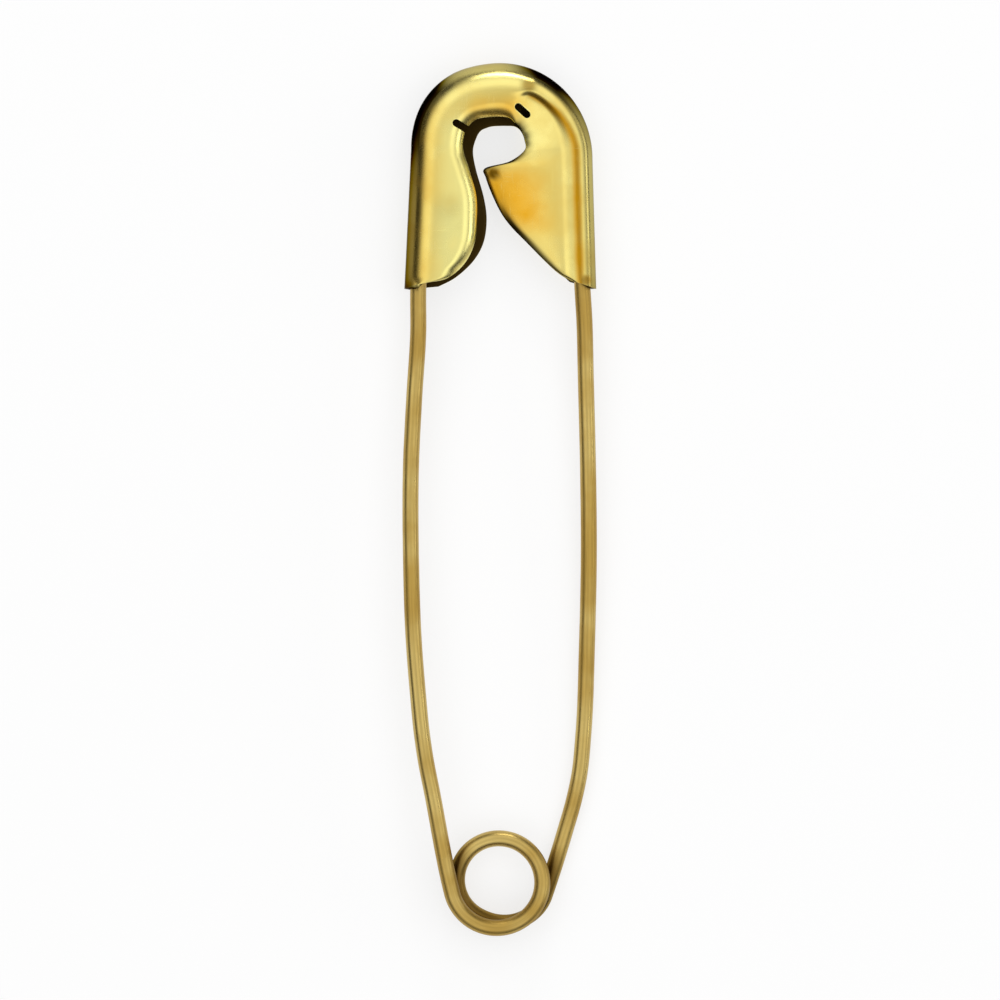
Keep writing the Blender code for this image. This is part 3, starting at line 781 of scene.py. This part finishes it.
def makeWireTree(material):
    # round wire along a curve, ground to a point at its end where a point length is given
    group = bpy.data.node_groups.new("drawnWire", "GeometryNodeTree")
    names = {"Curve": groupInput(group, "Curve", "NodeSocketGeometry")}
    for name, kind, value in (("Wire Radius", "NodeSocketFloat", wire["radius"]),
                              ("Tip Radius", "NodeSocketFloat", wire["tipRadius"]),
                              ("Point Length", "NodeSocketFloat", 0.0),
                              ("Spacing", "NodeSocketFloat", wire["spacing"]),
                              ("Sides", "NodeSocketInt", wire["sides"]),
                              ("Finish", "NodeSocketMaterial", material)):
        names[name] = groupInput(group, name, kind, value)
    group.interface.new_socket(name="Wire", in_out="OUTPUT", socket_type="NodeSocketGeometry")
    start = group.nodes.new("NodeGroupInput").outputs

    resample = addNode(group, "GeometryNodeResampleCurve",
                       {"Curve": start["Curve"], "Length": start["Spacing"]}, mode="LENGTH")
    along = group.nodes.new("GeometryNodeSplineParameter").outputs["Length"]
    whole = group.nodes.new("GeometryNodeSplineLength").outputs["Length"]
    toGo = mathNode(group, "SUBTRACT", whole, along)
    ground = mathNode(group, "MAXIMUM", start["Point Length"], 1e-6)     # never divides by 0
    share = mathNode(group, "DIVIDE", toGo, ground, limit=True)
    curved = mathNode(group, "SINE", mathNode(group, "MULTIPLY", share, math.pi / 2))
    thinner = mathNode(group, "SUBTRACT", start["Wire Radius"], start["Tip Radius"])
    added = mathNode(group, "MULTIPLY", curved, thinner)
    radius = mathNode(group, "ADD", added, start["Tip Radius"])
    scale = mathNode(group, "DIVIDE", radius, start["Wire Radius"])

    ring = addNode(group, "GeometryNodeCurvePrimitiveCircle",
                   {"Resolution": start["Sides"], "Radius": start["Wire Radius"]})
    ringPoint = group.nodes.new("GeometryNodeInputPosition").outputs[0]
    ringPlace = group.nodes.new("GeometryNodeCaptureAttribute")
    ringPlace.capture_items.new("VECTOR", "Across")
    group.links.new(ring.outputs["Curve"], ringPlace.inputs["Geometry"])
    group.links.new(ringPoint, ringPlace.inputs["Across"])
    wirePlace = group.nodes.new("GeometryNodeCaptureAttribute")
    wirePlace.capture_items.new("FLOAT", "Along")
    wirePlace.capture_items.new("FLOAT", "Scale")
    group.links.new(resample.outputs["Curve"], wirePlace.inputs["Geometry"])
    group.links.new(along, wirePlace.inputs["Along"])
    group.links.new(scale, wirePlace.inputs["Scale"])

    tube = addNode(group, "GeometryNodeCurveToMesh",
                   {"Curve": wirePlace.outputs["Geometry"],
                    "Profile Curve": ringPlace.outputs["Geometry"],
                    "Scale": wirePlace.outputs["Scale"]})
    tube.inputs["Fill Caps"].default_value = True
    split = addNode(group, "ShaderNodeSeparateXYZ", {"Vector": ringPlace.outputs["Across"]})
    joined = addNode(group, "ShaderNodeCombineXYZ",
                     {"X": split.outputs["X"], "Y": split.outputs["Y"],
                      "Z": wirePlace.outputs["Along"]})
    store = addNode(group, "GeometryNodeStoreNamedAttribute", {"Geometry": tube.outputs["Mesh"]},
                    data_type="FLOAT_VECTOR", domain="POINT")
    store.inputs["Name"].default_value = "wireGrain"
    target = next(s for s in store.inputs if s.name == "Value" and s.type == "VECTOR")
    group.links.new(joined.outputs[0], target)
    smooth = addNode(group, "GeometryNodeSetShadeSmooth", {"Geometry": store.outputs["Geometry"]})
    real = addNode(group, "GeometryNodeRealizeInstances", {"Geometry": smooth.outputs["Geometry"]})
    paint = addNode(group, "GeometryNodeSetMaterial",
                    {"Geometry": real.outputs["Geometry"], "Material": start["Finish"]})
    end = group.nodes.new("NodeGroupOutput")
    group.links.new(paint.outputs["Geometry"], end.inputs["Wire"])
    return group, names


def makeWire(name, path, tree, names, pointLength=0.0):
    curve = bpy.data.curves.new(name, "CURVE")
    curve.dimensions = "3D"
    spline = curve.splines.new("POLY")
    spline.points.add(len(path) - 1)
    for target, point in zip(spline.points, path):
        target.co = (*point, 1)
    source = newObject(name, curve)
    modifier = source.modifiers.new("wire", "NODES")
    modifier.node_group = tree       # its defaults stand, but for the point's
    modifier[names["Point Length"]] = pointLength
    modifier[names["Tip Radius"]] = wire["tipRadius"] if pointLength else wire["radius"]
    piece = plainMesh(source)
    shape = bmesh.new()
    shape.from_mesh(piece.data)
    bmesh.ops.remove_doubles(shape, verts=shape.verts, dist=wire["weldGap"])
    bmesh.ops.recalc_face_normals(shape, faces=shape.faces)
    shape.to_mesh(piece.data)
    shape.free()
    piece.data.set_sharp_from_angle(angle=math.radians(wire["sharpDegrees"]))
    return piece


def solidTip():
    # the solid arm's last ring of points gives its tip
    points = [v.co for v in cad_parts["pin_arm"].data.vertices
              if v.co.y > armHigh.y - wire["endRing"]]
    return sum(points, Vector()) / len(points)


armTip = solidTip()
print("arm tip at", [round(v / mm, 2) for v in armTip])

capMaterial = makeCapGold()
wireMaterial = makeWireGold()

capShell = makeCapShell(capMaterial)
print("cap shell made:", len(capShell.data.polygons), "faces")
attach(capShell, "base")
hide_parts("clasp_cap")

wireTree, wireInputs = makeWireTree(wireMaterial)
wirePath = wholeWirePath()
armRun, rootRun, springRun = splitWire(wirePath)
springWire = makeWire("springWire", springRun, wireTree, wireInputs)
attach(springWire, "base")
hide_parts("spring_wire")

armRoot = makeWire("armRoot", rootRun, wireTree, wireInputs)
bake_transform(armRoot)
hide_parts("arm_root")

sharpArm = makeWire("sharpArm", armRun, wireTree, wireInputs, wire["pointLength"])
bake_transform(sharpArm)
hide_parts("pin_arm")

wirePieces = (springWire, armRoot, sharpArm)
for piece in wirePieces:
    markCrevices(piece, wirePath)
print("wires made:", [len(piece.data.polygons) for piece in wirePieces], "faces")


# Floor, light and camera

studio = {
    "floorSize": 3.0,
    "floorColour": (0.30, 0.30, 0.30),
    "floorLift": 0.71,              # glow of the floor for camera, glossy and transmission rays
    "floorRough": 0.8,
    "floorShine": 0.2,
    "domeLevels": ((0.0, 0.05), (0.30, 0.08), (0.48, 0.30), (0.62, 0.90),      # height, level
                   (0.75, 1.20), (0.93, 1.20), (0.975, 0.90), (1.0, 0.76)),
    "strips": (("topStrip", (0.02, 0.60, 0.22), (0.22, 0.14), 0.7),     # name, place, size, power
               ("sideStrip", (0.60, 0.05, 0.20), (0.50, 0.16), 0.5)),
    "cameraHeight": 0.345,
    "cameraNear": 0.01,
    "lens": 200.0,
}


def makeFloor():
    mesh = bpy.data.meshes.new("floor")
    half = studio["floorSize"] / 2
    corners = [(-half, -half, 0), (half, -half, 0), (half, half, 0), (-half, half, 0)]
    mesh.from_pydata(corners, [], [(0, 1, 2, 3)])
    floor = newObject("floor", mesh)
    material = bpy.data.materials.new("paleFloor")
    material.use_nodes = True
    tree = material.node_tree
    shader = tree.nodes["Principled BSDF"]
    shader.inputs["Base Color"].default_value = (*studio["floorColour"], 1)
    shader.inputs["Roughness"].default_value = studio["floorRough"]
    shader.inputs["Specular IOR Level"].default_value = studio["floorShine"]
    shader.inputs["Emission Color"].default_value = (1, 1, 1, 1)
    path = tree.nodes.new("ShaderNodeLightPath").outputs
    seen = mathNode(tree, "MAXIMUM", path["Is Camera Ray"], path["Is Glossy Ray"])
    seen = mathNode(tree, "MAXIMUM", seen, path["Is Transmission Ray"])
    tree.links.new(mathNode(tree, "MULTIPLY", seen, studio["floorLift"]),
                   shader.inputs["Emission Strength"])
    mesh.materials.append(material)


def makeWorld():
    # a soft dome: a little darker straight above, brightest round it, dark near the horizon
    world = bpy.data.worlds.new("softDome")
    bpy.context.scene.world = world
    world.use_nodes = True
    tree = world.node_tree
    background = tree.nodes["Background"]
    direction = tree.nodes.new("ShaderNodeTexCoord").outputs["Generated"]
    height = addNode(tree, "ShaderNodeSeparateXYZ", {"Vector": direction}).outputs["Z"]
    ramp = tree.nodes.new("ShaderNodeValToRGB")
    tree.links.new(height, ramp.inputs["Fac"])
    levels = studio["domeLevels"]       # the ramp's own ends stay at 0 and 1
    for position, level in levels[1:-1]:
        ramp.color_ramp.elements.new(position)
    for element, (position, level) in zip(ramp.color_ramp.elements, levels):
        element.color = (level, level, level, 1)
    path = tree.nodes.new("ShaderNodeLightPath").outputs
    colour = mixColour(tree, path["Is Camera Ray"], ramp.outputs["Color"], (1.0, 1.0, 1.0))
    tree.links.new(colour, background.inputs["Color"])


def makeLight(name, place, size, power):
    light = bpy.data.lights.new(name, "AREA")
    light.shape = "RECTANGLE"
    light.size, light.size_y = size
    light.energy = power
    lamp = newObject(name, light)
    lamp.location = place
    lamp.rotation_euler = (Vector((0, 0, 0)) - Vector(place)).to_track_quat("-Z", "Y").to_euler()


def makeCamera():
    camera = bpy.data.cameras.new("camera")
    camera.lens = studio["lens"]
    camera.clip_start = studio["cameraNear"]
    holder = newObject("camera", camera)
    holder.location = (0, 0, studio["cameraHeight"])
    bpy.context.scene.camera = holder


makeFloor()
makeWorld()
for strip in studio["strips"]:
    makeLight(*strip)
makeCamera()
print("studio made")
